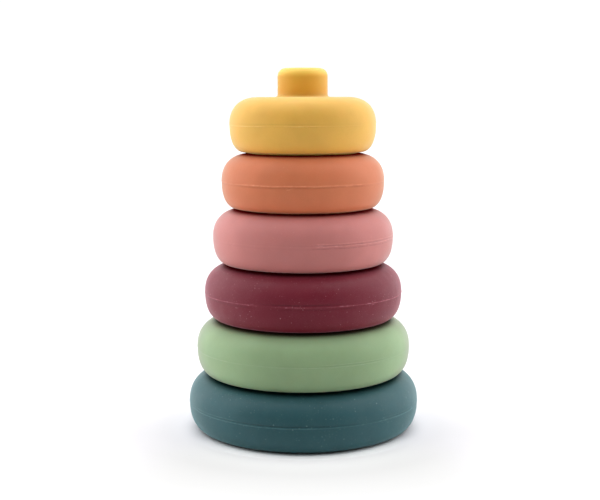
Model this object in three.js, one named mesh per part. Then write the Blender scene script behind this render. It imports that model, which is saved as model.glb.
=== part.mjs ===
// Stacking ring toy: six soft silicone mouldings that plug together into a tapering tower.
//
// All pieces share one half section, and only the outside radius changes. Each has a round
// body with a stud on its flat top, and a hollow underside with a low foot. A central sleeve
// takes the stud of the piece below, and a narrower core hole runs on up inside the stud.
//
// Millimetres, +Z up. The origin is on the floor, at the centre of the lowest piece's foot.
// Heights in a section are above the piece's own foot. Names ending in _IN, and FOOT_OUTSET,
// measure inward from the widest circle.

import * as THREE from "three";

// Body
const PITCH = 23.9; // foot of one piece to foot of the next, when stacked
const SEAT_GAP = 0.05; // top face to the foot that rests on it
const BODY_H = PITCH - SEAT_GAP;
const WAIST_Z = 11.9; // height of the widest circle
const SHOULDER_IN = 12.6; // where the flat top starts
const SHOULDER_POWER = 2.34;
const LOWER_IN = 6.05; // where the lower edge turns flat
const LOWER_POWER = 2.2;

// Foot, and its lip that curls in under the hollow
const FOOT_H = 0.55; // lower edge above the floor
const FOOT_OUTSET = 8.5; // outer edge of the foot
const FOOT_FLARE = 0.5; // how far the foot widens to its root
const LIP_IN = 13.0; // inner edge of the lip
const LIP_H = 3.6;
const LIP_CHAMFER = 1.0;

// Hollow
const WALL = 4.0; // outer wall at the waist, and top wall
const CEILING_Z = BODY_H - WALL;
const HOLLOW_LOWER_IN = 8.4; // where the curve above the lip starts
const HOLLOW_LOWER_H = 6.2; // height of that curve
const HOLLOW_UPPER_W = 9.4; // width of the curve from the wall to the ceiling
const HOLLOW_UPPER_POWER = 2.1;

// Stud
const STUD_R = 10.7;
const STUD_TOP_Z = BODY_H + 12.2;
const STUD_EDGE_R = 3.5; // rounding of the top edge
const STUD_ROOT = 1.1; // bevel where the stud meets the top face

// Sleeve, bore and core hole
const BORE_R = STUD_R + 0.3; // clearance all round the stud
const BORE_TOP_Z = STUD_TOP_Z - PITCH + 0.75; // clearance above the stud of the piece below
const SLEEVE_R = BORE_R + 3.4;
const SLEEVE_Z = 0.6; // the sleeve stops short of the floor, so the foot takes the load
const SLEEVE_ROOT = 1.0; // bevel where the sleeve meets the ceiling
const LEAD_IN = 0.8; // chamfer at the mouth of the bore
const CORE_R = 7.2;
const CORE_TOP_Z = STUD_TOP_Z - 3.8;
const CORE_CHAMFER = 2.0;

const SEGMENTS = 32; // flats round each piece

// name, outside radius, colour, from the floor up
const PIECES = [
  ["teal_base_ring", 50.0, 0x4f7379],
  ["sage_ring", 46.35, 0xa0bb93],
  ["plum_ring", 42.7, 0x84414f],
  ["pink_ring", 38.95, 0xcf8f88],
  ["terracotta_ring", 35.0, 0xdd8c66],
  ["mustard_top_ring", 31.4, 0xefbd66],
];

// Points [radius, z] of a quarter superellipse (power 2 is an ellipse), between angles in
// degrees: 0 is at centre + width, 90 at centre + height. A negative height turns it over.
function quarter({ centre, width, height, power = 2, from, to, steps }) {
  const points = [];
  for (let i = 0; i <= steps; i++) {
    const angle = THREE.MathUtils.degToRad(from + ((to - from) * i) / steps);
    // A rounding error below zero would have no real power.
    const across = Math.max(0, Math.cos(angle)) ** (2 / power);
    const up = Math.max(0, Math.sin(angle)) ** (2 / power);
    points.push([centre[0] + width * across, centre[1] + height * up]);
  }
  return points;
}

// From the top of the axis down to the top face
function stud() {
  return [
    [0, STUD_TOP_Z],
    ...quarter({
      centre: [STUD_R - STUD_EDGE_R, STUD_TOP_Z - STUD_EDGE_R],
      width: STUD_EDGE_R, height: STUD_EDGE_R,
      from: 90, to: 0, steps: 3,
    }),
    [STUD_R, BODY_H + STUD_ROOT],
    [STUD_R + STUD_ROOT, BODY_H],
  ];
}

// Shoulder, waist and lower edge
function outside(outerR) {
  const shoulder = quarter({
    centre: [outerR - SHOULDER_IN, WAIST_Z],
    width: SHOULDER_IN, height: BODY_H - WAIST_Z, power: SHOULDER_POWER,
    from: 90, to: 0, steps: 7,
  });
  const lowerEdge = quarter({
    centre: [outerR - LOWER_IN, WAIST_Z],
    width: LOWER_IN, height: FOOT_H - WAIST_Z, power: LOWER_POWER,
    from: 0, to: 90, steps: 5,
  });
  // Both curves hold the waist point, so the second gives it up.
  return [...shoulder, ...lowerEdge.slice(1)];
}

function foot(outerR) {
  const footR = outerR - FOOT_OUTSET;
  const lipR = outerR - LIP_IN;
  return [
    [footR + FOOT_FLARE, FOOT_H],
    [footR, 0],
    [lipR + LIP_CHAMFER, 0],
    [lipR, LIP_CHAMFER],
    [lipR, LIP_H],
  ];
}

// Inside of the outer wall, from the lip up to the ceiling
function hollow(outerR) {
  return [
    ...quarter({
      centre: [outerR - HOLLOW_LOWER_IN, LIP_H + HOLLOW_LOWER_H],
      width: HOLLOW_LOWER_IN - WALL, height: -HOLLOW_LOWER_H,
      from: 90, to: 0, steps: 2,
    }),
    ...quarter({
      centre: [outerR - WALL - HOLLOW_UPPER_W, WAIST_Z],
      width: HOLLOW_UPPER_W, height: CEILING_Z - WAIST_Z, power: HOLLOW_UPPER_POWER,
      from: 0, to: 90, steps: 3,
    }),
  ];
}

// Down the outside of the sleeve, up the bore and the core hole, and back to the axis
function sleeveAndCore() {
  return [
    [SLEEVE_R + SLEEVE_ROOT, CEILING_Z],
    [SLEEVE_R, CEILING_Z - SLEEVE_ROOT],
    [SLEEVE_R, SLEEVE_Z],
    [BORE_R + LEAD_IN, SLEEVE_Z],
    [BORE_R, SLEEVE_Z + LEAD_IN],
    [BORE_R, BORE_TOP_Z],
    [CORE_R, BORE_TOP_Z],
    [CORE_R, CORE_TOP_Z - CORE_CHAMFER],
    [CORE_R - CORE_CHAMFER, CORE_TOP_Z],
    [0, CORE_TOP_Z],
  ];
}

function moulding(outerR) {
  const section = [
    ...stud(),
    ...outside(outerR),
    ...foot(outerR),
    ...hollow(outerR),
    ...sleeveAndCore(),
  ];
  // A lathe turns its profile round +Y and faces out where the profile climbs, so the
  // section is reversed, and the result is then stood up along +Z.
  const points = section.map(([radius, z]) => new THREE.Vector2(radius, z)).reverse();
  return new THREE.LatheGeometry(points, SEGMENTS).rotateX(Math.PI / 2);
}

function silicone(color) {
  return new THREE.MeshStandardMaterial({ color, roughness: 0.6, metalness: 0.0 });
}

const tower = new THREE.Group();
tower.name = "stacking_ring_toy";

// Each piece stands on the one below, so each group carries everything stacked on it.
let carrier = tower;
PIECES.forEach(([name, outerR, colour], level) => {
  const place = new THREE.Group();
  place.position.z = level === 0 ? 0 : PITCH;
  const piece = new THREE.Mesh(moulding(outerR), silicone(colour));
  piece.name = name;
  place.add(piece);
  carrier.add(place);
  carrier = place;
});

export default tower;
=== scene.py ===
# Stacking ring toy: six silicone rings on one axis, largest at the bottom, on a white sweep.
# Metres, +Z up, in the CAD model's frame, with the front towards -Y and the right towards +X.
# Every ring is a fine mesh that stands for one CAD node. Ring sizes are in mm.

import math
from typing import NamedTuple

import bpy
import numpy as np
from mathutils import Matrix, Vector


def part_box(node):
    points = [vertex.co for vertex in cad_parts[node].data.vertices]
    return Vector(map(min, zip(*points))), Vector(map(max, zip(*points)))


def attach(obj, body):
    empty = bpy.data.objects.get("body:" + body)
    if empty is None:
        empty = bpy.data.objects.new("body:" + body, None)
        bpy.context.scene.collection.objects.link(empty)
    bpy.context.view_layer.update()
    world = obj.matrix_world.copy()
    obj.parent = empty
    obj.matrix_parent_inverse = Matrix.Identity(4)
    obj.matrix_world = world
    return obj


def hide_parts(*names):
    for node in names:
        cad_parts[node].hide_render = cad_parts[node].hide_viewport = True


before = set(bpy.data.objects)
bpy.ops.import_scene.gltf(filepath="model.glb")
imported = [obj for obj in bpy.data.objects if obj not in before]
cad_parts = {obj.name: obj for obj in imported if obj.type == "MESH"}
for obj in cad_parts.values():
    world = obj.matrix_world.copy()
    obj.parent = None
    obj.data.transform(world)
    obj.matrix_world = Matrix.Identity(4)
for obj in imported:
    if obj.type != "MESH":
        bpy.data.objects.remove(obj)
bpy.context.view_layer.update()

MM = 0.001

# --- the moulding's section, in mm; heights are above the ring's foot -----------------------

PITCH = 23.9
SEAT_GAP = 0.05
BODY_H = PITCH - SEAT_GAP
WAIST_Z = 11.9  # the parting line
SHOULDER_IN, SHOULDER_POWER = 12.6, 2.34  # *_IN and *_OUT are measured in from the outer radius
LOWER_IN, LOWER_POWER = 6.05, 2.2
FOOT_H, FOOT_OUT, FOOT_ROUND = 0.55, 8.5, 0.3
STUD_R, STUD_EDGE_R, STUD_FILLET = 10.7, 3.5, 1.1
STUD_TOP_Z = BODY_H + 12.2
WALL, FOOT_IN = 4.0, 13.0
LIP_H, LIP_FOOT_R, LIP_TOP_R = 3.6, 1.2, 1.0
COVE_IN, COVE_H = 8.4, 6.2
CEILING_Z, CEILING_IN, CEILING_POWER = BODY_H - WALL, 9.4, 2.1
SLEEVE_R, SLEEVE_Z, SLEEVE_FILLET, SLEEVE_EDGE_R = 14.4, 0.6, 1.4, 0.9
BORE_R, BORE_TOP_Z, LEAD_IN, BORE_EDGE_R = 11.0, 12.9, 0.8, 0.5
CORE_R, CORE_EDGE_R, CORE_FILLET = 7.2, 2.0, 0.6
CORE_TOP_Z = STUD_TOP_Z - 3.8

SEGMENTS = 352

# the fine rows of vertices about the parting line: the band they fill, and their heights from it
BAND_ABOVE, BAND_BELOW = 2.0, 1.9
SEAM_ROWS = (
    1.75, 1.52, 1.36, 1.24, 1.14, 1.04, 0.94, 0.84, 0.74, 0.64, 0.54, 0.44, 0.35, 0.27, 0.20,
    0.13, 0.07, 0.01, -0.05, -0.11, -0.18, -0.26, -0.34, -0.43, -0.52, -0.61, -0.70, -0.80,
    -0.90, -1.00, -1.12, -1.26, -1.42, -1.62,
)

# the relief on the parting line, mm
SEAM_REACH, RIM_DEPTH = 3.5, 2.0  # how far from the line, and in from the rim, it is shaped
FLASH_H, GROOVE_D = 0.13, 0.11  # relief of flash and groove at strength 1
BEAD_LENGTH, BEAD_WIDTH = 0.55, 0.26  # half sizes of a bead along and across the line
STEP_EDGE, STEP_FADE = 0.10, 3.2  # how sharp the step is, and how far off it dies away
SOFT_DEPTH, SOFT_WOBBLE = 16.0, 0.035  # the outer part of a ring that is not quite round


class Ring(NamedTuple):
    """One ring. Angles are in degrees from the front, positive to the right."""

    node: str
    color: tuple
    step: list  # (angle, how far the upper mould half stands proud of the lower, mm)
    # threads of flash and fine grooves that run with the parting line, the grooves darkened with
    # painted shadow:
    # (height above it in mm, half width in mm, [(angle, strength)])
    threads: list
    grooves: list
    beads: list  # crumbs of flash: (angle, height above the line in mm, strength)
    seam: tuple  # color of the flash: its own paler skin, and partly a painted highlight where the ridge catches light
    speck: tuple  # color of the dust and the thickest flash
    specks: float  # amount of dust
    sheen: tuple
    sheen_weight: float
    edge: tuple  # painted shade: multiplies the color where the surface is seen edge on
    crease_shade: tuple  # painted crease shade: the color laid where one ring sits on another
    stud: tuple = None  # painted shade: color of the stud's side, worked out from color if not given
    tip: tuple = None  # painted light: color of the stud's rim, likewise


RINGS = [
    Ring(
        node="teal_base_ring",
        color=(0.021, 0.093, 0.109),
        step=[(-180, 0.02), (-60, 0.05), (-20, 0.07), (15, 0.06), (60, 0.05), (120, 0.03)],
        threads=[
            (0, 0.17, [
                (-180, 0.4), (-90, 0.6), (-58, 0.9), (-36, 0.85), (-20, 0.75), (0, 1), (14, 0.65),
                (30, 0.45), (46, 0.8), (62, 1.15), (78, 1.2), (90, 0.8), (140, 0.35)]),
            (1.05, 0.14, [
                (-180, 0), (-75, 0.1), (-60, 0.6), (-38, 0.75), (-30, 0.15), (10, 0), (40, 0.1),
                (50, 0.35), (64, 0.25), (80, 0), (150, 0.2)]),
        ],
        grooves=[
            (0.72, 0.24, [
                (-180, 0.2), (-100, 0), (-48, 0.2), (-34, 0.8), (-18, 1.3), (0, 1.1), (16, 0.7),
                (30, 0.1), (42, 0.25), (52, 0.6), (64, 0.15), (90, 0), (140, 0.3)]),
        ],
        beads=[
            (-17, 0.15, 0.6), (41, 0.9, 0.7), (66, 0.5, 0.8), (-64, 0.2, 0.6), (118, -0.3, 0.8),
            (-133, 0.4, 0.7), (161, 0.1, 0.6)],
        seam=(0.072, 0.19, 0.21),
        speck=(0.15, 0.262, 0.278),
        specks=1,
        sheen=(0.62, 0.95, 1),
        sheen_weight=0.29,
        edge=(1, 1, 1),
        crease_shade=(0.001, 0.016, 0.016),
    ),
    Ring(
        node="sage_ring",
        color=(0.29, 0.424, 0.228),
        step=[(-180, 0.02), (-60, 0.05), (20, 0.02), (90, 0.02)],
        threads=[
            (0, 0.16, [
                (-180, 0.3), (-90, 0.35), (-66, 0.6), (-42, 0.6), (-28, 0.35), (0, 0.55),
                (14, 0.6), (32, 0.6), (46, 0.2), (90, 0.25)]),
            (1, 0.13, [
                (-180, 0), (-100, 0.3), (-60, 0), (6, 0), (15, 0.5), (40, 0.5), (52, 0)]),
        ],
        grooves=[
            (0.55, 0.2, [
                (-180, 0), (-24, 0), (0, 0.2), (14, 0.25), (40, 0.25), (54, 0), (130, 0.1)]),
        ],
        beads=[(-44, 0.1, 0.5), (128, 0.2, 0.5), (-120, -0.2, 0.5)],
        seam=(0.38, 0.505, 0.31),
        speck=(0.41, 0.53, 0.34),
        specks=0.2,
        sheen=(0.95, 0.96, 0.92),
        sheen_weight=0.2,
        edge=(0.92, 0.78, 0.92),
        crease_shade=(0.05, 0.04, 0.02),
    ),
    Ring(
        node="plum_ring",
        color=(0.172, 0.004, 0.02),
        step=[(-180, 0.02), (-60, 0.04), (0, 0.04), (60, 0.05), (120, 0.03)],
        threads=[
            (0, 0.17, [
                (-180, 0.4), (-90, 0.9), (-72, 1.1), (-50, 0.85), (-38, 0.85), (-28, 0.4),
                (-20, 0.08), (-14, 0.3), (-5, 0.6), (10, 0.45), (22, 0.8), (33, 0.65), (42, 1.2),
                (56, 1.1), (74, 1.4), (90, 1.1), (130, 0.5)]),
        ],
        grooves=[
            (0.85, 0.22, [
                (-180, 0), (-100, 0.2), (-60, 0), (-28, 0.1), (-12, 1.1), (6, 1.1), (18, 0.6),
                (30, 0), (140, 0.3)]),
            (-1, 0.2, [
                (-180, 0), (-60, 0.5), (-40, 0.5), (-20, 0.1), (-6, 0.5), (24, 0.5), (34, 0),
                (150, 0.2)]),
        ],
        beads=[
            (-32, 0.15, 1), (-29, 0.45, 1.1), (-27, -0.1, 0.7), (-9, 0, 1.1), (-6.4, 0.1, 0.9),
            (-3.6, 0, 0.7), (20.9, 0.1, 1), (22.4, 0, 0.5), (24.6, 0.05, 0.9), (38.5, 0.1, 1.3),
            (41.6, -0.55, 1.6), (54, 0.1, 1.2), (63, 0, 0.8), (77, 0.1, 1.2), (-58, 0, 1),
            (-47, 0.1, 0.8), (-70, 0.1, 1), (112, 0.2, 1.1), (-140, 0, 1.2), (167, -0.3, 0.9)],
        seam=(0.34, 0.072, 0.105),
        speck=(0.46, 0.19, 0.225),
        specks=1,
        sheen=(1, 0.56, 0.66),
        sheen_weight=0.4,
        edge=(1, 1, 1),
        crease_shade=(0.08, 0, 0.003),
    ),
    Ring(
        node="pink_ring",
        color=(0.57, 0.201, 0.187),
        step=[(-180, 0.01), (-60, 0.02), (5, 0.02), (20, 0.08), (70, 0.07), (120, 0.02)],
        threads=[
            (0, 0.15, [
                (-180, 0.15), (-90, 0.2), (-40, 0.1), (0, 0.08), (8, 0.3), (20, 0.9), (32, 0.75),
                (46, 0.75), (60, 0.9), (76, 0.8), (90, 0.6), (140, 0.15)]),
            (1.1, 0.14, [
                (-180, 0), (0, 0), (8, 0.3), (18, 0.6), (36, 0.75), (48, 0.5), (60, 0.7),
                (80, 0.4), (96, 0.1)]),
        ],
        grooves=[
            (-0.85, 0.22, [
                (-180, 0), (-62, 0.03), (-45, 0.08), (0, 0.1), (10, 0.45), (36, 0.5), (60, 0.35),
                (84, 0.25), (100, 0.05)]),
            (0.55, 0.22, [
                (-180, 0), (-50, 0.02), (-20, 0.05), (6, 0.15), (20, 0.45), (44, 0.5),
                (60, 0.25), (90, 0.1)]),
        ],
        beads=[
            (8.6, 0.1, 0.9), (9.4, 1.05, 1), (10.8, 0.4, 0.8), (12.4, 0, 0.9), (12, 1.15, 0.8),
            (20, 0.1, 0.8), (34, 0.1, 0.7), (-96, 0.1, 0.7), (143, 0.3, 0.8)],
        seam=(0.7, 0.29, 0.27),
        speck=(0.72, 0.35, 0.33),
        specks=0.35,
        sheen=(1, 0.82, 0.8),
        sheen_weight=0.29,
        edge=(0.84, 0.95, 0.96),
        crease_shade=(0.2, 0.008, 0.008),
    ),
    Ring(
        node="terracotta_ring",
        color=(0.656, 0.194, 0.083),
        step=[
            (-180, 0.03), (-90, 0.05), (-45, 0.18), (0, 0.2), (32, 0.18), (60, 0.05), (130, 0.03)],
        threads=[
            (0.2, 0.24, [
                (-180, 0.2), (-90, 0.35), (-52, 0.25), (-44, 0.8), (-34, 1.2), (-20, 0.85),
                (0, 0.85), (15, 0.9), (28, 0.95), (33, 0.7), (39, 0.8), (50, 0.2), (90, 0.35),
                (130, 0.15)]),
        ],
        grooves=[
            (-0.58, 0.3, [
                (-180, 0), (-75, 0.08), (-52, 0.12), (-40, 0.42), (-25, 0.45), (-10, 0.32),
                (15, 0.32), (25, 0.25), (31, 0.1), (38, 0.45), (48, 0.12), (60, 0.05),
                (90, 0.08), (140, 0.1)]),
        ],
        beads=[
            (-9.6, -1.2, 1.5), (-7.6, -0.8, 0.7), (-35, 0.3, 0.8), (30.5, -0.25, 0.9),
            (33, 0, 0.7), (109, 0, 0.8), (-151, 0.2, 0.8)],
        seam=(0.79, 0.29, 0.15),
        speck=(0.78, 0.33, 0.2),
        specks=0.22,
        sheen=(1, 0.84, 0.72),
        sheen_weight=0.34,
        edge=(0.82, 0.94, 0.96),
        crease_shade=(0.26, 0.016, 0.004),
    ),
    Ring(
        node="mustard_top_ring",
        color=(0.806, 0.458, 0.079),
        step=[(-180, 0.02), (-90, 0.05), (0, 0.04), (30, 0.02), (90, 0.02)],
        threads=[
            (0, 0.17, [
                (-180, 0.25), (-90, 0.45), (-66, 0.9), (-50, 1.1), (-34, 1), (-28, 0.3),
                (-12, 0.45), (-5, 1.05), (6, 1.05), (12, 0.45), (25, 0.25), (60, 0.08),
                (90, 0.15)]),
        ],
        grooves=[
            (0.85, 0.24, [
                (-180, 0), (-66, 0.04), (-45, 0.1), (-28, 0.18), (-8, 0.16), (8, 0.12),
                (20, 0.04), (60, 0)]),
        ],
        beads=[(-52, 0.1, 0.6), (136, 0.1, 0.6), (-118, 0.2, 0.5)],
        seam=(0.87, 0.56, 0.15),
        speck=(0.85, 0.57, 0.18),
        specks=0.15,
        sheen=(1, 0.94, 0.84),
        sheen_weight=0.26,
        edge=(0.86, 0.96, 1),
        crease_shade=(0.42, 0.14, 0.006),
        stud=(0.765, 0.412, 0.044),
        tip=(0.96, 0.62, 0.108),
    ),
]

# --- the section ----------------------------------------------------------------------------

# Ways along a quarter arc, in degrees: its side end is level with its centre.
TO_SIDE, FROM_SIDE = (90, 0), (0, 90)


def arc(center, radii, way, steps, power=2.0):
    """Points of a quarter superellipse; a negative radius flips it."""
    t = np.radians(np.linspace(*way, steps + 1))
    c = np.clip(np.cos(t), 0, None) ** (2 / power)
    s = np.clip(np.sin(t), 0, None) ** (2 / power)
    return list(zip(center[0] + radii[0] * c, center[1] + radii[1] * s))


def even(points, step):
    """The polyline walked again at an even step, in mm."""
    p = np.array(points)
    along = np.r_[0, np.cumsum(np.hypot(*np.diff(p, axis=0).T))]
    count = max(1, int(round(along[-1] / step)))
    stops = np.linspace(0, along[-1], count + 1)
    return list(zip(np.interp(stops, along, p[:, 0]), np.interp(stops, along, p[:, 1])))


class Outline:
    """A growing list of (radius, height) points."""

    def __init__(self, start):
        self.points = [start]

    def line(self, radius, z, steps):
        r0, z0 = self.points[-1]
        for i in range(1, steps + 1):
            self.points.append((r0 + (radius - r0) * i / steps, z0 + (z - z0) * i / steps))

    def arc(self, center, radii, way, steps):
        self.points += arc(center, radii, way, steps)[1:]


def draw_stud(o, outer_r):
    """From the stud's tip down its side and out to the shoulder."""
    edge = STUD_EDGE_R
    o.line(STUD_R - edge, STUD_TOP_Z, 5)
    o.arc((STUD_R - edge, STUD_TOP_Z - edge), (edge, edge), TO_SIDE, 12)
    fillet = STUD_FILLET
    o.line(STUD_R, BODY_H + fillet, 7)
    o.arc((STUD_R + fillet, BODY_H + fillet), (-fillet, -fillet), FROM_SIDE, 6)
    shoulder_r = outer_r - SHOULDER_IN
    o.line(shoulder_r, BODY_H, max(2, int((shoulder_r - o.points[-1][0]) / 1.6)))


def draw_outside(o, outer_r):
    """The shoulder, the fine rows about the parting line and the lower side."""
    shoulder = arc((outer_r - SHOULDER_IN, WAIST_Z), (SHOULDER_IN, BODY_H - WAIST_Z),
                   TO_SIDE, 400, SHOULDER_POWER)
    lower = arc((outer_r - LOWER_IN, WAIST_Z), (LOWER_IN, FOOT_H - WAIST_Z),
                FROM_SIDE, 400, LOWER_POWER)
    # walked evenly so that no quads are stretched
    o.points += even([q for q in shoulder if q[1] > WAIST_Z + BAND_ABOVE], step=0.8)[1:]
    for dz in SEAM_ROWS:
        # both run downwards, and interpolation wants rising heights
        rs, zs = np.array(shoulder if dz > 0 else lower)[::-1].T
        o.points.append((float(np.interp(WAIST_Z + dz, zs, rs)), WAIST_Z + dz))
    o.points += even([q for q in lower if q[1] < WAIST_Z - BAND_BELOW], step=0.8)


def draw_foot(o, outer_r):
    """The foot, set in from the edge, and the lip that curls in over the hollow."""
    edge_r, small = outer_r - FOOT_OUT, FOOT_ROUND
    o.line(edge_r + 2 * small, FOOT_H, 3)
    o.arc((edge_r + 2 * small, small), (-small, FOOT_H - small), TO_SIDE, 3)
    o.arc((edge_r, small), (small, -small), FROM_SIDE, 3)
    lip_r = outer_r - FOOT_IN
    o.line(lip_r + LIP_FOOT_R, 0.0, 4)
    o.arc((lip_r + LIP_FOOT_R, LIP_FOOT_R), (-LIP_FOOT_R, -LIP_FOOT_R), TO_SIDE, 5)
    o.line(lip_r, LIP_H - LIP_TOP_R, 2)
    o.arc((lip_r + LIP_TOP_R, LIP_H - LIP_TOP_R), (-LIP_TOP_R, LIP_TOP_R), FROM_SIDE, 4)


def draw_hollow(o, outer_r):
    """The inside of the wall and the ceiling, in to the sleeve."""
    inner = outer_r - WALL
    o.line(outer_r - COVE_IN, LIP_H, 3)
    o.arc((outer_r - COVE_IN, LIP_H + COVE_H), (COVE_IN - WALL, -COVE_H), TO_SIDE, 9)
    o.line(inner, WAIST_Z, 2)
    ceiling = arc((inner - CEILING_IN, WAIST_Z), (CEILING_IN, CEILING_Z - WAIST_Z),
                  FROM_SIDE, 200, CEILING_POWER)
    o.points += even(ceiling, step=1.2)[1:]
    steps = max(2, int((o.points[-1][0] - SLEEVE_R) / 1.8))
    o.line(SLEEVE_R + SLEEVE_FILLET, CEILING_Z, steps)


def draw_bore(o):
    """The sleeve, the bore and the core hole, back to the axis."""
    fillet, edge = SLEEVE_FILLET, SLEEVE_EDGE_R
    o.arc((SLEEVE_R + fillet, CEILING_Z - fillet), (-fillet, fillet), TO_SIDE, 4)
    o.line(SLEEVE_R, SLEEVE_Z + edge, 9)
    o.arc((SLEEVE_R - edge, SLEEVE_Z + edge), (edge, -edge), FROM_SIDE, 4)
    o.line(BORE_R + LEAD_IN, SLEEVE_Z, 2)
    o.arc((BORE_R + LEAD_IN, SLEEVE_Z + LEAD_IN), (-LEAD_IN, -LEAD_IN), TO_SIDE, 4)
    edge = BORE_EDGE_R
    o.line(BORE_R, BORE_TOP_Z - edge, 8)
    o.arc((BORE_R - edge, BORE_TOP_Z - edge), (edge, edge), FROM_SIDE, 3)
    fillet, edge = CORE_FILLET, CORE_EDGE_R
    o.line(CORE_R + fillet, BORE_TOP_Z, 2)
    o.arc((CORE_R + fillet, BORE_TOP_Z + fillet), (-fillet, -fillet), TO_SIDE, 3)
    o.line(CORE_R, CORE_TOP_Z - edge, 12)
    o.arc((CORE_R - edge, CORE_TOP_Z - edge), (edge, edge), FROM_SIDE, 6)
    o.line(0.0, CORE_TOP_Z, 4)


def section(outer_r):
    """Radii and heights of the half section, from the stud's tip round to the core hole's top."""
    o = Outline((0.0, STUD_TOP_Z))
    draw_stud(o, outer_r)
    draw_outside(o, outer_r)
    draw_foot(o, outer_r)
    draw_hollow(o, outer_r)
    draw_bore(o)
    return np.array(o.points).T


# --- building a ring ------------------------------------------------------------------------


def by_angle(table, degrees):
    """A smooth loop through (angle, value) pairs."""
    a, v = np.array(sorted(table), float).T
    a = np.r_[a[-1] - 360, a, a[0] + 360]
    v = np.r_[v[-1], v, v[0]]
    i = np.clip(np.searchsorted(a, degrees, side="right") - 1, 0, len(a) - 2)
    t = np.clip((degrees - a[i]) / (a[i + 1] - a[i]), 0, 1)
    t = t * t * (3 - 2 * t)
    return v[i] * (1 - t) + v[i + 1] * t


def wander(theta, seed, waves, amount):
    """A closed, smooth, repeatable wobble round a ring."""
    rng = np.random.default_rng(seed)
    out = np.zeros_like(theta)
    for k in waves:
        out += rng.normal() * np.sin(k * theta + rng.uniform(0, 2 * math.pi)) / math.sqrt(len(waves))
    return amount * out


def relief(ring, level, outer_r, r0, z0, theta):
    """Strengths of flash and groove, and the push outwards in mm, by section point and angle."""
    degrees = (np.degrees(theta) + 180) % 360 - 180
    seam_z = WAIST_Z + wander(theta, 31 + level, [2, 3, 5, 9], 0.05)
    near = ((np.abs(z0 - WAIST_Z) < SEAM_REACH) & (r0 > outer_r - RIM_DEPTH))[:, None]
    far_off = 99.0
    dz = np.where(near, z0[:, None] - seam_z[None, :], far_off)

    flash, groove = np.zeros(dz.shape), np.zeros(dz.shape)
    for k, (height, half_width, table) in enumerate(ring.threads + ring.grooves):
        seed = 7 * level + 50 * k
        uneven = 1 + wander(theta, 11 + seed, [17, 29, 43, 61, 83, 109, 131], 0.30)
        strength = np.clip(by_angle(table, degrees) * uneven, 0, None)
        sway = wander(theta, 211 + seed, [3, 5, 8, 13], 0.05)
        kind = flash if k < len(ring.threads) else groove
        kind += strength[None, :] * np.exp(-(((dz - height - sway[None, :]) / half_width) ** 2))
    for angle, height, strength in ring.beads:
        along = ((degrees - angle + 180) % 360 - 180) * math.pi / 180 * outer_r
        flash += strength * np.exp(
            -((along[None, :] / BEAD_LENGTH) ** 2) - ((dz - height) / BEAD_WIDTH) ** 2)

    step = by_angle(ring.step, degrees)
    proud = 0.5 * step[None, :] * np.tanh(dz / STEP_EDGE) * np.exp(-((dz / STEP_FADE) ** 2))
    push = np.where(near, FLASH_H * flash - GROOVE_D * groove + proud, 0.0)
    # silicone never comes out of the mould quite round
    soft = wander(theta, 71 + level, [2, 3, 4, 6], SOFT_WOBBLE)
    push += np.where((r0 > outer_r - SOFT_DEPTH)[:, None], soft[None, :], 0.0)
    return flash, groove, push


def revolve(name, r0, z, push, theta):
    """The turned mesh, and the vertex number at each section point and angle."""
    verts = []
    grid = np.full(push.shape, -1)
    for j, radius in enumerate(r0):
        if radius < 1e-9:
            grid[j, :] = len(verts)
            verts.append((0.0, 0.0, z[j] * MM))
            continue
        for i, angle in enumerate(theta):
            r = radius + push[j, i]
            grid[j, i] = len(verts)
            verts.append((r * math.sin(angle) * MM, -r * math.cos(angle) * MM, z[j] * MM))
    faces = []
    for upper, lower in zip(grid.tolist(), grid.tolist()[1:]):
        for i in range(len(theta)):
            k = (i + 1) % len(theta)
            corners = (lower[i], lower[k], upper[k], upper[i])
            if upper[i] == upper[k]:
                corners = (lower[i], lower[k], upper[i])
            elif lower[i] == lower[k]:
                corners = (lower[k], upper[k], upper[i])
            faces.append(corners)
    mesh = bpy.data.meshes.new(name)
    mesh.from_pydata(verts, [], faces)
    return mesh, grid


def build_ring(ring, level):
    """One ring; level counts up from the lowest and seeds its wobbles."""
    low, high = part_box(ring.node)
    outer_r = (high.x - low.x) / 2 / MM
    base_z = low.z / MM
    r0, z0 = section(outer_r)
    # angle 0 faces the front (-Y) and grows to the right (+X)
    theta = np.arange(SEGMENTS) * 2 * math.pi / SEGMENTS
    flash, groove, push = relief(ring, level, outer_r, r0, z0, theta)

    name = ring.node + "_silicone"
    mesh, grid = revolve(name, r0, z0 + base_z, push, theta)
    for attribute, values in (("flash", flash), ("groove", groove)):
        at_vertex = np.zeros(len(mesh.vertices), np.float32)
        at_vertex[grid.ravel()] = values.ravel()
        mesh.attributes.new(attribute, "FLOAT", "POINT").data.foreach_set("value", at_vertex)
    mesh.polygons.foreach_set("use_smooth", [True] * len(mesh.polygons))
    mesh.update()
    piece = bpy.data.objects.new(name, mesh)
    bpy.context.scene.collection.objects.link(piece)
    mesh.materials.append(silicone(ring, outer_r, base_z))
    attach(piece, ring.node)
    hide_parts(ring.node)


# --- shader nodes ---------------------------------------------------------------------------


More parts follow.
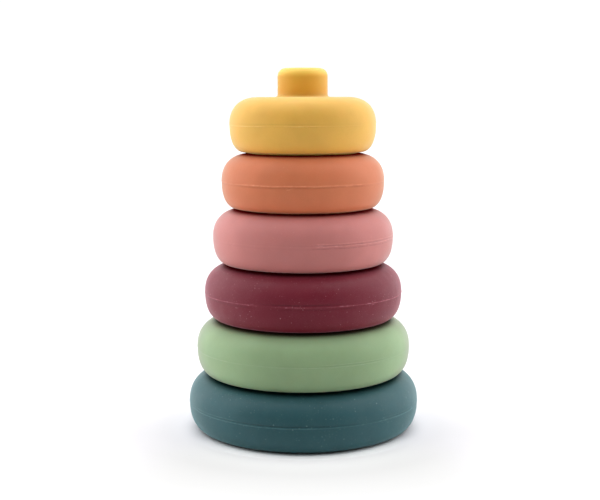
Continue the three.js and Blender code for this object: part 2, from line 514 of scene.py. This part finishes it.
class Nodes:
    """Short names for the few node types used."""

    def __init__(self, tree):
        self.tree = tree
        tree.nodes.clear()

    def node(self, kind, inputs=None, **props):
        node = self.tree.nodes.new("ShaderNode" + kind)
        for k, v in props.items():
            setattr(node, k, v)
        for k, v in (inputs or {}).items():
            self.put(node.inputs[k], v)
        return node

    def socket(self, kind, inputs=None, out=0, **props):
        return self.node(kind, inputs, **props).outputs[out]

    def put(self, socket, value):
        if isinstance(value, bpy.types.NodeSocket):
            self.tree.links.new(value, socket)
        elif socket.type == "RGBA":
            socket.default_value = (*value, 1.0)
        else:
            socket.default_value = value

    def math(self, operation, *values, clamp=False):
        return self.socket("Math", dict(enumerate(values)), operation=operation, use_clamp=clamp)

    def plus(self, a, b):
        return self.math("ADD", a, b)

    def minus(self, a, b, clamp=False):
        return self.math("SUBTRACT", a, b, clamp=clamp)

    def times(self, a, b, clamp=False):
        return self.math("MULTIPLY", a, b, clamp=clamp)

    def squares(self, a, b):
        return self.plus(self.math("POWER", a, 2.0), self.math("POWER", b, 2.0))

    def switch(self, factor, off, on):
        return self.plus(self.times(off, self.minus(1.0, factor)), self.times(factor, on))

    def ramp(self, value, over, to=(0, 1), smooth=True):
        """Carries the span `over` to the span `to`, held at both ends."""
        inputs = {"Value": value, "From Min": over[0], "From Max": over[1],
                  "To Min": to[0], "To Max": to[1]}
        style = "SMOOTHSTEP" if smooth else "LINEAR"
        return self.socket("MapRange", inputs, out="Result", interpolation_type=style)

    def noise(self, vector, scale, detail=2, roughness=0.5, out="Fac"):
        inputs = {"Vector": vector, "Scale": scale, "Detail": detail, "Roughness": roughness}
        return self.socket("TexNoise", inputs, out=out)

    def xyz(self, vector):
        return self.node("SeparateXYZ", {"Vector": vector}).outputs

    def mix(self, factor, a, b, blend="MIX"):
        inputs = {0: factor, 6: a, 7: b}
        return self.node("Mix", inputs, data_type="RGBA", blend_type=blend).outputs[2]


def new_material(name):
    mat = bpy.data.materials.new(name)
    mat.use_nodes = True
    return mat, Nodes(mat.node_tree)


# --- silicone; mm is the place on the toy in mm, base the ring's color ----------------------

# layers of dust: cell in mm, fleck size in mm, share of cells that hold a fleck, pattern offset
DUST_LAYERS = ((1.5, 0.30, 0.085, 0.0), (0.85, 0.19, 0.20, 40.0))


def pigment(n, base, mm, grain):
    """Slow clouds and a fine grain, each a few parts in a hundred."""
    cloud = n.noise(mm, scale=0.045, detail=3, roughness=0.55)
    deeper, paler, grained = base * 0.95, base * 1.06 + 0.004, base * 0.93
    color = n.mix(n.ramp(cloud, over=(0.32, 0.68)), deeper, paler)
    return n.mix(n.ramp(grain, over=(0.25, 0.75), to=(0, 0.35)), color, grained)


def paint_stud_light_and_shade(n, ring, base, color, z, radius, base_z):
    """The stud: painted light on its rim stands for light passing through the thin wall, and painted
    shade darkens its side.
    """

    def band(inside):
        outside = n.ramp(radius, over=(STUD_R + 1.6, STUD_R + 0.2))
        return n.times(outside, n.ramp(radius, over=inside))

    foot, top = base_z + BODY_H, base_z + STUD_TOP_Z
    above = n.ramp(z, over=(foot + 0.3, foot + 2.5))
    side = band(inside=(STUD_R - 2.6, STUD_R - 1.2))
    color = n.mix(n.times(side, above), color, ring.stud or base * 0.96)
    tip = band(inside=(STUD_R - 4.4, STUD_R - 2.6))
    tip = n.times(tip, n.ramp(z, over=(top - 4.2, top - 1.4)))
    return n.mix(n.times(tip, above), color, ring.tip or base * 1.05)


def tint_seam(n, ring, base, color, mm):
    """Hairs of flash a shade paler than the body, partly a painted highlight on the ridge, and fine
    grooves darkened with painted shadow.
    """
    # painted shadow laid along the fine grooves
    shadow, groove_painted_shadow = 0.85, base * 0.60
    thick = 0.85  # flash stronger than this takes the speck color
    patches = n.noise(mm, scale=0.75, detail=3, roughness=0.7)
    broken = n.ramp(patches, over=(0.34, 0.62), to=(0.45, 1))
    groove = n.socket("Attribute", out="Fac", attribute_name="groove")
    color = n.mix(n.times(groove, shadow, clamp=True), color, groove_painted_shadow)
    # the flash color: partly the flash's own paler skin, partly a painted highlight where the ridge
    # catches light
    flash = n.times(n.socket("Attribute", out="Fac", attribute_name="flash"), broken)
    seam = n.math("MINIMUM", flash, 1.0)
    color = n.mix(seam, color, ring.seam)
    return n.mix(n.minus(flash, thick, clamp=True), color, ring.speck), seam


def dust_layer(n, mm, crowd, near_seam, cell, size, share, offset):
    """Flecks scattered one to a cell, each with its own size and strength."""
    shift = (offset, offset * 0.7, offset * 1.3)
    place = n.socket("Mapping", {"Vector": mm, "Location": shift})
    wobble = n.noise(mm, scale=1.7, out="Color")
    wobble = n.socket("VectorMath", {0: wobble, 1: (0.5, 0.5, 0.5)}, operation="MULTIPLY")
    warped = n.socket("VectorMath", {0: place, 1: wobble}, operation="ADD")
    cells = n.node("TexVoronoi", {"Vector": warped, "Scale": 1.0 / cell}, feature="F1").outputs
    chance, largeness, strength = n.node("SeparateColor", {"Color": cells["Color"]}).outputs
    share = n.ramp(near_seam, over=(0, 1), to=(share, share * 3.0), smooth=False)
    kept = n.math("LESS_THAN", chance, n.times(crowd, share))
    sizes = (size * 0.6 / cell, size * 1.3 / cell)
    reach = n.ramp(largeness, over=(0, 1), to=sizes, smooth=False)
    spot = n.ramp(n.math("DIVIDE", cells["Distance"], reach), over=(1, 0.45))
    faint = n.ramp(strength, over=(0, 1), to=(0.15, 1), smooth=False)
    return n.times(n.times(spot, kept), faint)


def settled_dust(n, ring, mm, z, radius, outer_r, base_z):
    """A few plain flecks, many faint ones, and more of both along the parting line."""
    dz = n.math("ABSOLUTE", n.minus(z, base_z + WAIST_Z))
    on_rim = n.ramp(radius, over=(outer_r - 0.6, outer_r - 0.3))
    near_seam = n.times(n.ramp(dz, over=(0.9, 0.3)), on_rim)
    crowd = n.ramp(n.noise(mm, scale=0.055), over=(0.36, 0.66), to=(0.35, 2.4))
    layers = [dust_layer(n, mm, crowd, near_seam, *layer) for layer in DUST_LAYERS]
    return n.times(n.math("MAXIMUM", *layers), ring.specks, clamp=True)


def tint_dust(n, ring, base, color, mm, dust):
    """The flecks, wiped streaks, and a haze of lint that never resolves into flecks."""
    fleck, wipe, lint = 0.85, 0.11 * ring.specks, 0.16 * ring.specks  # strength of each
    color = n.mix(n.times(dust, fleck), color, ring.speck)
    tall = n.socket("Mapping", {"Vector": mm, "Scale": (0.19, 0.19, 0.10)})
    streaks = n.noise(tall, scale=1, detail=3, roughness=0.55)
    wiped = n.times(n.ramp(streaks, over=(0.46, 0.74)), wipe)
    color = n.mix(wiped, color, 0.65 * base + 0.35 * np.array(ring.speck))
    haze = n.noise(mm, scale=3.2, detail=3, roughness=0.7)
    return n.mix(n.times(n.ramp(haze, over=(0.52, 0.76)), lint), color, ring.speck)


def skin_roughness(n, mm, grain, dust, seam):
    """Roughness drifts where the skin has been handled, and dust and flash are rougher."""
    dusty = 0.85
    handled = n.noise(mm, scale=0.07, detail=4, roughness=0.6)
    rough = n.ramp(handled, over=(0.3, 0.7), to=(0.50, 0.60))
    rough = n.plus(rough, n.ramp(grain, over=(0.2, 0.8), to=(-0.02, 0.03)))
    return n.math("MAXIMUM", rough, n.times(n.math("MAXIMUM", dust, seam), dusty))


def skin_bump(n, mm, dust):
    """The blasted mould's fine texture, over a broad ripple."""
    fine_h, ripple_h, dust_h, overall = 0.020, 0.10, 0.03, 1.0  # height of each
    fine = n.noise(mm, scale=7, roughness=0.6)
    ripple = n.noise(mm, scale=0.22)
    broad = n.plus(n.times(ripple, ripple_h), n.times(dust, dust_h))
    height = n.times(n.plus(n.times(fine, fine_h), broad), overall)
    return n.socket("Bump", {"Height": height, "Distance": 0.001, "Strength": 0.6})


def silicone(ring, outer_r, base_z):
    """Matte moulded silicone: blasted skin, pigment cloud, a paler parting line, settled dust,
    painted shade in the creases, at the rims and on the stud's side, and painted light on the stud's
    rim.
    """
    mat, n = new_material(ring.node + "_matte_silicone")
    base = np.array(ring.color)
    where = n.socket("TexCoord", out="Object")
    mm = n.socket("Mapping", {"Vector": where, "Scale": (1000, 1000, 1000)})
    x, y, z = n.xyz(mm)
    radius = n.math("SQRT", n.squares(x, y))
    grain = n.noise(mm, scale=2.4, detail=3, roughness=0.6)

    color = pigment(n, base, mm, grain)
    # painted shade on the stud's side and painted light on its rim
    color = paint_stud_light_and_shade(n, ring, base, color, z, radius, base_z)
    color, seam = tint_seam(n, ring, base, color, mm)
    dust = settled_dust(n, ring, mm, z, radius, outer_r, base_z)
    color = tint_dust(n, ring, base, color, mm, dust)

    # painted crease shade: where ambient occlusion finds one ring sitting on another, the color is
    # darkened towards a deep, saturated tint and the specular and sheen are taken away
    openness = n.socket("AmbientOcclusion", {"Distance": 0.007}, out="AO", samples=12)
    up = n.xyz(n.socket("NewGeometry", out="Normal"))["Z"]
    painted_shade_mask = n.times(n.ramp(openness, over=(0.74, 0.16)), n.ramp(up, over=(0, 0.35)))
    lit = n.minus(1.0, painted_shade_mask)
    color = n.mix(painted_shade_mask, color, ring.crease_shade)
    # painted shade: seen edge on, the color of the paler rings is darkened a little
    facing = n.socket("LayerWeight", {"Blend": 0.5}, out="Facing")
    color = n.mix(n.ramp(facing, over=(0.58, 0.95)), color, ring.edge, blend="MULTIPLY")

    inputs = {
        "Base Color": color,
        "Roughness": skin_roughness(n, mm, grain, dust, seam),
        "IOR": 1.41,
        "Normal": skin_bump(n, mm, dust),
        "Subsurface Weight": 0.30,
        "Subsurface Radius": (1.0, 0.40, 0.25),
        "Subsurface Scale": 0.0020,
        "Specular IOR Level": n.times(lit, 0.45),
        "Sheen Weight": n.times(lit, ring.sheen_weight),
        "Sheen Roughness": 0.35,
        "Sheen Tint": ring.sheen,
    }
    n.node("OutputMaterial", {"Surface": n.socket("BsdfPrincipled", inputs)})
    return mat


# --- stage, light and camera ----------------------------------------------------------------

# Strength of the room's light by angle from the camera's side (0) to behind the toy (180), in
# degrees. It is a dark camera side, two broad side boxes and a bright sweep behind.
ANGLES = (0, 15, 42, 65, 83, 103, 147, 180)
LOW = (0.00, 0.02, 0.08, 0.94, 2.13, 2.66, 1.94, 1.90)  # near the floor
MIDDLE = (0.00, 0.02, 0.06, 0.92, 2.07, 2.45, 1.36, 1.25)  # near 22 degrees up
HIGH = (0.05, 0.08, 0.42, 1.27, 2.16, 2.29, 1.40, 1.32)  # near 43 degrees up
TOP_FRONT, TOP_BACK = 1.46, 3.40  # overhead
LIGHT_SCALE = 4.0  # keeps the curves' points within 0 to 1
BACKDROP_SEEN = 1.05

FLOOR_HALF, FLOOR_Z = 6.0, -0.0002
FLOOR_UNDER, FLOOR_NEAR, FLOOR_FAR = 0.90, 0.48, 0.75  # bounce: round the toy, in front, further
FLOOR_SEEN, BESIDE_PAINTED_SHADE, BEFORE_PAINTED_SHADE = 0.80, 0.765, 0.675  # seen: far off, and the painted shade beside and in front
COOL_GREEN, COOL_BLUE = 0.985, 1.022

LENS, SENSOR = 68.03508, 36.0  # mm
CAMERA_AT = (0.0, -0.48869, 0.142825)
CAMERA_YAW, CAMERA_DOWN, CAMERA_ROLL = 0.0027, 0.13314, -0.00284  # radians


def build_turntable(camera):
    """The lights keep their place round the camera, as if the toy were turned before it."""
    turn = bpy.data.objects.new("studio_turn", None)
    bpy.context.scene.collection.objects.link(turn)
    follow = turn.constraints.new("COPY_ROTATION")
    follow.target = camera
    follow.use_x = follow.use_y = False
    return turn


def floor_white(turn):
    """A white sweep, duller as a source of bounce in front of the toy to keep the rings deep; where
    seen, it carries a painted contact shadow and painted light and shade round the toy's foot.
    """
    mat, n = new_material("floor_white")
    # the turntable's +Y runs away from the camera
    ahead = n.xyz(n.socket("TexCoord", out="Object", object=turn))["Y"]
    bounce = n.plus(
        n.ramp(ahead, over=(-0.072, -0.052), to=(0, FLOOR_UNDER - FLOOR_NEAR)),
        n.ramp(ahead, over=(-0.26, -0.17), to=(FLOOR_FAR, FLOOR_NEAR)),
    )
    seen = n.socket("LightPath", out="Is Camera Ray")
    openness = n.socket("AmbientOcclusion", {"Distance": 0.004}, out="AO", samples=12)
    x, y, _ = n.xyz(n.socket("TexCoord", out="Object"))
    out = n.math("SQRT", n.squares(x, y))
    # painted light brightens the sweep right at the foot of the lowest ring, most of all under its
    # front, and painted shade dulls it a little further out beside and in front; it also goes a
    # shade cooler beside it
    front = n.ramp(n.math("DIVIDE", ahead, out), over=(-0.35, -0.90))
    not_front = n.minus(1.0, front)
    beside = n.plus(
        n.ramp(out, over=(0.0485, 0.062), to=(0.850, BESIDE_PAINTED_SHADE)),
        n.ramp(out, over=(0.072, 0.090), to=(0, FLOOR_SEEN - BESIDE_PAINTED_SHADE)),
    )
    close = n.plus(
        n.ramp(out, over=(0.0440, 0.0545), to=(0.90, 0)),
        n.ramp(out, over=(0.0520, 0.0720), to=(0.840, BEFORE_PAINTED_SHADE)),
    )
    before = n.plus(close, n.ramp(out, over=(0.090, 0.130), to=(0, FLOOR_SEEN - BEFORE_PAINTED_SHADE)))
    painted_floor_shading = n.plus(n.times(front, before), n.times(not_front, beside))
    # painted contact shadow where ambient occlusion finds the toy close by
    painted_floor_shading = n.times(n.ramp(openness, over=(0.03, 0.20), to=(0.10, 1)), painted_floor_shading)
    red = n.switch(seen, off=bounce, on=painted_floor_shading)
    cool = n.times(seen, n.minus(1.0, front))
    green = n.times(red, n.ramp(cool, over=(0, 1), to=(1, COOL_GREEN), smooth=False))
    blue = n.times(red, n.ramp(cool, over=(0, 1), to=(1, COOL_BLUE), smooth=False))
    color = n.socket("CombineColor", {0: red, 1: green, 2: blue})
    n.node("OutputMaterial", {"Surface": n.socket("BsdfDiffuse", {"Color": color})})
    return mat


def build_stage(turn):
    mesh = bpy.data.meshes.new("floor")
    corners = ((-1, -1), (1, -1), (1, 1), (-1, 1))
    verts = [(x * FLOOR_HALF, y * FLOOR_HALF, FLOOR_Z) for x, y in corners]
    mesh.from_pydata(verts, [], [(0, 1, 2, 3)])
    floor = bpy.data.objects.new("floor", mesh)
    bpy.context.scene.collection.objects.link(floor)
    mesh.materials.append(floor_white(turn))


def light_curve(n, angle, strengths):
    """Light strength by angle, where angle 1 is 180 degrees."""
    node = n.node("FloatCurve", {"Value": angle})
    points = node.mapping.curves[0].points
    first, *between, last = [(a / 180, v / LIGHT_SCALE) for a, v in zip(ANGLES, strengths)]
    points[0].location = first
    points[1].location = last
    for place in between:
        points.new(*place)
    node.mapping.update()
    return n.times(node.outputs[0], LIGHT_SCALE)


def build_world(turn):
    world = bpy.data.worlds.new("studio")
    bpy.context.scene.world = world
    world.use_nodes = True
    n = Nodes(world.node_tree)
    direction = n.socket("TexCoord", out="Object", object=turn)
    x, y, z = n.xyz(n.socket("VectorMath", {0: direction}, operation="NORMALIZE"))
    never_zero = 1e-6
    flat = n.math("SQRT", n.plus(n.squares(x, y), never_zero))
    cosine = n.math("DIVIDE", n.times(y, -1.0), flat)
    angle = n.math("DIVIDE", n.math("ARCCOSINE", cosine), math.pi)
    rise = n.math("DEGREES", n.math("ARCSINE", z))

    def blend(lower, upper, over):
        t = n.ramp(rise, over=over)
        return n.plus(n.times(lower, n.minus(1.0, t)), n.times(upper, t))

    light = light_curve(n, angle, LOW)
    light = blend(light, light_curve(n, angle, MIDDLE), over=(2, 22))
    light = blend(light, light_curve(n, angle, HIGH), over=(22, 43))
    top = n.ramp(y, over=(-0.18, 0.18), to=(TOP_FRONT, TOP_BACK))
    light = blend(light, top, over=(46, 64))
    seen = n.socket("LightPath", out="Is Camera Ray")
    light = n.switch(seen, off=light, on=BACKDROP_SEEN)
    back = n.socket("Background", {"Color": (1, 1, 1), "Strength": light})
    n.node("OutputWorld", {"Surface": back})


def build_camera():
    data = bpy.data.cameras.new("camera")
    data.sensor_width = SENSOR
    data.lens = LENS
    data.clip_start, data.clip_end = 0.01, 50
    camera = bpy.data.objects.new("camera", data)
    bpy.context.scene.collection.objects.link(camera)
    aim = (
        Matrix.Rotation(CAMERA_YAW, 4, "Z")
        @ Matrix.Rotation(math.pi / 2 - CAMERA_DOWN, 4, "X")
        @ Matrix.Rotation(CAMERA_ROLL, 4, "Z")
    )
    camera.matrix_world = Matrix.Translation(CAMERA_AT) @ aim
    bpy.context.scene.camera = camera
    return camera


for level, ring in enumerate(RINGS):
    build_ring(ring, level)
turntable = build_turntable(build_camera())
build_stage(turntable)
build_world(turntable)
view = bpy.context.scene.view_settings
view.view_transform = "Standard"
view.look = "None"
view.exposure = 0.0
view.gamma = 1.0
